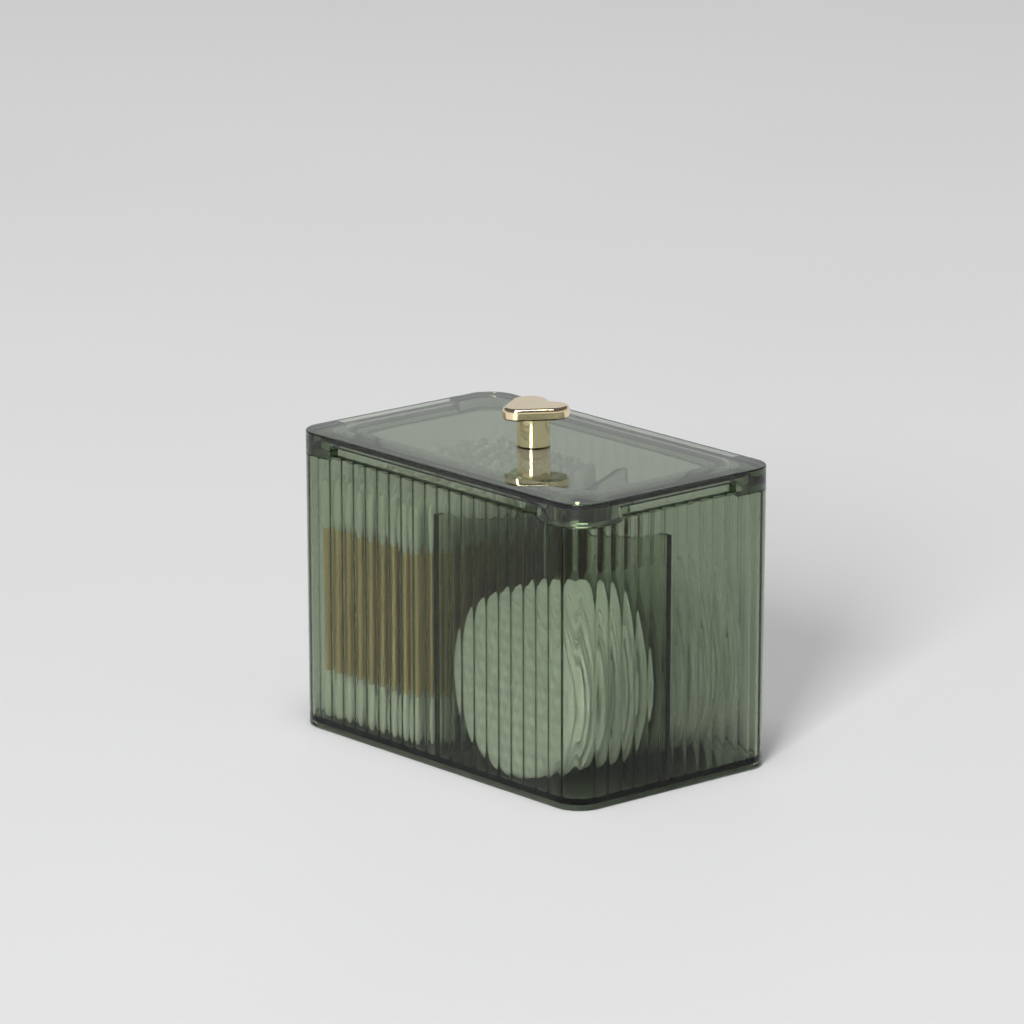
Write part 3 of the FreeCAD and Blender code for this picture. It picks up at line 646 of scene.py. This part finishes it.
def buildDivider(name, node, profile, toPoint):
    s = dividerSizes
    half = s["halfThickness"]
    count = len(profile)
    verts = [toPoint(along, up, -half) for along, up in profile]
    verts += [toPoint(along, up, half) for along, up in profile]
    faces = [tuple(range(count)), tuple(range(2 * count - 1, count - 1, -1))]
    for i in range(count):
        j = (i + 1) % count
        faces.append((i, i + count, j + count, j))
    divider = newPiece(name, verts, faces, dividerPlastic, "box", [node], "divider_plastic")
    closeGaps(divider)
    smoothBelow(divider, s["sharpAngle"])
    bevel = divider.modifiers.new("edges", "BEVEL")
    bevel.width = s["bevel"]
    bevel.segments = s["bevelSteps"]
    bevel.limit_method = "ANGLE"
    bevel.angle_limit = math.radians(s["bevelAngle"])
    bevel.harden_normals = True


def buildDividers():
    s = dividerSizes
    low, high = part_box("cross_divider")
    profile = scoopProfile(low.y, high.y, low.z + s["footAir"], high.z, s["crossScoop"])
    buildDivider("crossDivider", "cross_divider", profile, lambda along, up, out: (out, along, up))
    low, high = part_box("long_divider")
    middle = (low.y + high.y) / 2
    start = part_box("cross_divider")[1].x + s["housingAir"]
    profile = scoopProfile(start, high.x, low.z + s["footAir"], high.z, s["longScoop"])
    buildDivider("longDivider", "long_divider", profile, lambda along, up, out: (along, middle + out, up))


buildDividers()
print("dividers built")


def dressKnob():
    for node in ("knob_heart", "knob_stem"):
        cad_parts[node].material_slots[0].material = polishedGold
    for node in ("knob_washer", "knob_screw"):
        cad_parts[node].material_slots[0].material = platedSteel


dressKnob()
print("knob dressed")


swabSizes = {
    "length": 75.0 * mm,
    "tipLength": 15.0 * mm,
    "tipDiameter": 4.9 * mm,
    "tipRadius": 2.15 * mm,
    "stickRadius": 1.25 * mm,
    "gap": 0.25 * mm,  # between the swabs of a row
    "rowGap": -0.05 * mm,  # rows sit into each other
    "jitter": 0.3 * mm,
    "wallJitter": 0.3,  # share of the jitter that the first row gets, so that it stands in line
    "freeRows": 3,  # that share grows by one over so many rows, up to the full jitter
    "rise": 0.9 * mm,
    "footRise": 0.3,  # share of the rise that lifts a swab's foot
    "lean": 0.35,  # degrees
    "stickStart": 0.9,  # where the stick begins, as a share of the tip's length
    "swell": 0.06,
    "lobes": (1.7, 450),  # how fast the swell changes round a tip and along it
    "sides": 16,
    "sharpAngle": 50,
    "seed": 4,
}
tipProfile = (  # share of the tip from the stick outwards, share of its radius
    (0.0, 0.58), (0.02, 0.64), (0.10, 0.74), (0.22, 0.88), (0.34, 0.97), (0.46, 1.0), (0.60, 0.99),
    (0.72, 0.95), (0.82, 0.87), (0.90, 0.74), (0.95, 0.59), (0.98, 0.38), (1.0, 0.0),
)


def addTube(verts, faces, place, profile, seed, rough):
    # A turned shape about a leaning axis: place gives a point for a height and an offset.
    count = swabSizes["sides"]
    around, along = swabSizes["lobes"]
    first = len(verts)
    for level, (height, radius) in enumerate(profile):
        for i in range(count):
            angle = 2 * math.pi * (i + 0.5 * (level % 2)) / count
            lobe = Vector((math.cos(angle) * around, math.sin(angle) * around, height * along + seed))
            swell = 1 + rough * noise.noise(lobe)
            verts.append(place(height, radius * swell * math.cos(angle), radius * swell * math.sin(angle)))
    for level in range(len(profile) - 1):
        for i in range(count):
            j = (i + 1) % count
            a, b = first + level * count, first + (level + 1) * count
            faces.append((a + i, a + j, b + j, b + i))
    faces.append(tuple(range(first + count - 1, first - 1, -1)))
    last = first + (len(profile) - 1) * count
    faces.append(tuple(range(last, last + count)))


def addSwab(lower, upper, sticks, x, y, foot):
    s = swabSizes
    slantX = math.tan(math.radians(random.uniform(-1, 1) * s["lean"]))
    slantY = math.tan(math.radians(random.uniform(-1, 1) * s["lean"]))
    length = s["length"] - random.uniform(0, 1) * s["rise"]
    seed = random.uniform(0, 1000)
    tip, radius, stick = s["tipLength"], s["tipRadius"], s["stickRadius"]

    def place(height, across, along):
        middle = height - length / 2
        return x + across + slantX * middle, y + along + slantY * middle, foot + height

    bottom = [(tip * (1 - share), radius * wide) for share, wide in tipProfile]
    top = [(length - tip * (1 - share), radius * wide) for share, wide in tipProfile]
    addTube(*lower, place, bottom, seed, s["swell"])
    addTube(*upper, place, top, seed + s["sides"], s["swell"])
    ends = (tip * s["stickStart"], length - tip * s["stickStart"])
    addTube(*sticks, place, [(end, stick) for end in ends], seed, 0)


def buildSwabs():
    s = swabSizes
    random.seed(s["seed"])
    low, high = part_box("swab_tips_lower")
    lower, upper, sticks = ([], []), ([], []), ([], [])
    pitch, rowPitch = s["tipDiameter"] + s["gap"], s["tipDiameter"] + s["rowGap"]
    rows = int((high.y - low.y - s["tipDiameter"]) / rowPitch) + 1
    columns = int((high.x - low.x - s["tipDiameter"]) / pitch) + 1
    for row in range(rows):
        offset = row % 2
        for column in range(columns - offset):
            if row in (0, rows - 1) and column in (0, columns - offset - 1):
                continue  # the tray's round corners hold none
            x = low.x + s["tipDiameter"] / 2 + (column + offset / 2) * pitch
            y = low.y + s["tipDiameter"] / 2 + row * rowPitch
            spread = s["jitter"] * min(1, s["wallJitter"] + row / s["freeRows"])
            x += random.uniform(-1, 1) * spread
            y += random.uniform(-1, 1) * spread
            foot = low.z + random.uniform(0, s["footRise"]) * s["rise"]
            addSwab(lower, upper, sticks, x, y, foot)
    for name, made, node, material, slot in (
        ("swabTipsLower", lower, "swab_tips_lower", swabCotton, "swab_cotton"),
        ("swabTipsUpper", upper, "swab_tips_upper", swabCotton, "swab_cotton"),
        ("swabSticks", sticks, "swab_sticks", bambooStick, "swab_stick"),
    ):
        piece = newPiece(name, *made, material, "box", [node], slot)
        closeGaps(piece)
        smoothBelow(piece, s["sharpAngle"])
    print("swabs built:", rows, "rows of", columns)


buildSwabs()


padSizes = {
    "radius": (27.6 * mm, 28.4 * mm),
    "firstRadius": 26.9 * mm,
    "pitch": 2.15 * mm,
    "thickness": 2.0 * mm,
    "edge": 0.3 * mm,
    "edgeStart": 0.90,  # share of the radius where the pad begins to thin
    "quilt": 5.0 * mm,
    "emboss": 0.65 * mm,
    "quiltTurns": (30, 90, 150),  # degrees
    "ragged": 0.012,
    "raggedScales": (2, 9),  # of the rim's wide and fine dents
    "fineDents": 0.3,
    "dentMiddle": 0.6,
    "wave": 0.6 * mm,
    "waveScale": 1.6,
    "waveSeed": 7,
    "dish": 0.3 * mm,
    "spin": 0.2,  # radians
    "shift": 1.5 * mm,
    "lean": (-0.008, 0.036),  # of the first and the last pad, as a slope
    "rings": 18,
    "turns": 112,
    "faceRings": 50,  # for the first and the last pad, whose faces show
    "faceTurns": 240,
    "sharpAngle": 60,
    "seed": 11,
    "seedStep": 5.3,
}


def quiltAt(x, z):
    # Raised dots in a honeycomb, from -0.5 between them to 1 on them.
    step = 4 * math.pi / math.sqrt(3) / padSizes["quilt"]
    turns = [math.radians(degrees) for degrees in padSizes["quiltTurns"]]
    rises = [math.cos(step * (x * math.cos(turn) + z * math.sin(turn))) for turn in turns]
    return sum(rises) / len(rises)


def padShares(shown):
    # Where a pad has rings, as shares of its radius: even where its face shows, else closer near the rim.
    if shown:
        count = padSizes["faceRings"]
        return [ring / count for ring in range(count + 1)]
    count = padSizes["rings"]
    return [math.sin(math.pi / 2 * ring / count) for ring in range(count + 1)]


def dentAt(cos, sin, seed):
    wide, fine = padSizes["raggedScales"]
    rough = noise.noise(Vector((cos * wide, sin * wide, seed)))
    rough += padSizes["fineDents"] * noise.noise(Vector((cos * fine, sin * fine, seed)))
    return 1 + padSizes["ragged"] * (rough - padSizes["dentMiddle"])


def addPad(verts, faces, middle, radius, lean, seed, shown):
    # One pressed cotton disc standing on edge: quilted faces that thin to a soft rim.
    s = padSizes
    turns = s["faceTurns"] if shown else s["turns"]
    shares = padShares(shown)
    spin = random.uniform(-s["spin"], s["spin"])
    dish = random.uniform(-1, 1) * s["dish"]
    turnCos, turnSin = math.cos(spin), math.sin(spin)
    outer = len(shares) * turns
    first = len(verts)
    for face in (-1, 1):
        start = len(verts)
        for share in shares:
            rim = max(0.0, (share - s["edgeStart"]) / (1 - s["edgeStart"]))
            half = s["thickness"] / 2 * (1 - rim ** 2) + s["edge"] / 2 * rim ** 2
            for i in range(turns):
                angle = 2 * math.pi * i / turns
                cos, sin = math.cos(angle), math.sin(angle)
                reach = radius * share * dentAt(cos, sin, seed)
                x, z = reach * cos, reach * sin
                raised = quiltAt(x * turnCos + z * turnSin, z * turnCos - x * turnSin)
                wave = noise.noise(Vector((cos * s["waveScale"], sin * s["waveScale"], seed + s["waveSeed"])))
                bend = dish * share ** 2 + s["wave"] * share ** 3 * wave
                out = face * (half + s["emboss"] * raised * (1 - rim))
                verts.append((middle.x + x, middle.y + out + bend + lean * (z + radius), middle.z + z))
        for level in range(len(shares) - 1):
            for i in range(turns):
                j = (i + 1) % turns
                a, b = start + level * turns, start + (level + 1) * turns
                faces.append((a + i, a + j, b + j, b + i))
    back = len(verts) - turns
    front = first + outer - turns
    for i in range(turns):
        j = (i + 1) % turns
        faces.append((front + i, front + j, back + j, back + i))


def buildPads(name, node):
    s = padSizes
    low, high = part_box(node)
    count = round((high.y - low.y) / s["pitch"])
    verts, faces = [], []
    for index in range(count):
        share = index / (count - 1)
        radius = s["firstRadius"] if index == 0 else random.uniform(*s["radius"])
        x = (low.x + high.x) / 2 + random.uniform(-1, 1) * s["shift"]
        y = low.y + s["thickness"] / 2 + index * s["pitch"]
        lean = s["lean"][0] * (1 - share) + s["lean"][1] * share
        seed = index * s["seedStep"] + len(name)
        shown = index in (0, count - 1)
        addPad(verts, faces, Vector((x, y, low.z + radius)), radius, lean, seed, shown)
    piece = newPiece(name, verts, faces, padCotton, "box", [node], "pad_cotton")
    closeGaps(piece)
    smoothBelow(piece, s["sharpAngle"])


random.seed(padSizes["seed"])
buildPads("padsFront", "pads_front")
buildPads("padsBack", "pads_back")
print("pads built")


stageSizes = {
    "floor": 12.0,
    "floorTone": (0.66, 0.68),
    "floorScale": 3,
    "floorRoughness": 0.6,
    "wallTone": (0.60, 0.61, 0.62),  # the pale studio low round the object
    "ceilingTone": (0.12, 0.12, 0.125),
    "wallEdge": (0.28, 0.42),  # sine of the elevation where the one turns into the other
}
lights = (  # azimuth and elevation as for the camera, in degrees
    {
        "name": "keyLight",
        "azimuth": 32,
        "elevation": 25,
        "distance": 9.0,
        "size": (2.3, 3.6),
        "power": 960,
    },
    {
        "name": "topLight",
        "azimuth": 40,
        "elevation": 80,
        "distance": 6.0,
        "size": (2.0, 2.7),
        "power": 190,
    },
)


def buildFloor():
    s = stageSizes
    half = s["floor"] / 2
    corners = [(-half, -half, 0), (half, -half, 0), (half, half, 0), (-half, half, 0)]
    mesh = bpy.data.meshes.new("floor")
    mesh.from_pydata(corners, [], [(0, 1, 2, 3)])
    floor = bpy.data.objects.new("floor", mesh)
    bpy.context.scene.collection.objects.link(floor)
    material, tree, shader = newMaterial("paleFloor")
    dark, light = s["floorTone"]
    mottle = addNoise(tree, s["floorScale"], detail=2)
    addRamp(tree, mottle, shader, (dark, dark, dark), (light, light, light))
    shader.inputs["Roughness"].default_value = s["floorRoughness"]
    mesh.materials.append(material)


def buildWorld():
    s = stageSizes
    world = bpy.data.worlds.new("studio")
    bpy.context.scene.world = world
    world.use_nodes = True
    tree = world.node_tree
    direction = tree.nodes.new("ShaderNodeTexCoord")
    split = tree.nodes.new("ShaderNodeSeparateXYZ")
    ramp = tree.nodes.new("ShaderNodeValToRGB")
    ramp.color_ramp.interpolation = "EASE"
    tones = (s["wallTone"], s["ceilingTone"])
    for element, place, tone in zip(ramp.color_ramp.elements, s["wallEdge"], tones):
        element.position = place
        element.color = (*tone, 1)
    tree.links.new(direction.outputs["Generated"], split.inputs["Vector"])
    tree.links.new(split.outputs["Z"], ramp.inputs["Fac"])
    tree.links.new(ramp.outputs["Color"], tree.nodes["Background"].inputs["Color"])


def addLight(name, azimuth, elevation, distance, size, power):
    toLight = directionTo(azimuth, elevation)
    data = bpy.data.lights.new(name, "AREA")
    data.shape = "RECTANGLE"
    data.size, data.size_y = size
    data.energy = power
    light = bpy.data.objects.new(name, data)
    light.location = toLight * distance
    light.rotation_euler = toLight.to_track_quat("Z", "Y").to_euler()
    bpy.context.scene.collection.objects.link(light)


buildFloor()
buildWorld()
for light in lights:
    addLight(**light)
bpy.context.scene.view_settings.view_transform = "Standard"
print("stage set")

bpy.context.view_layer.update()
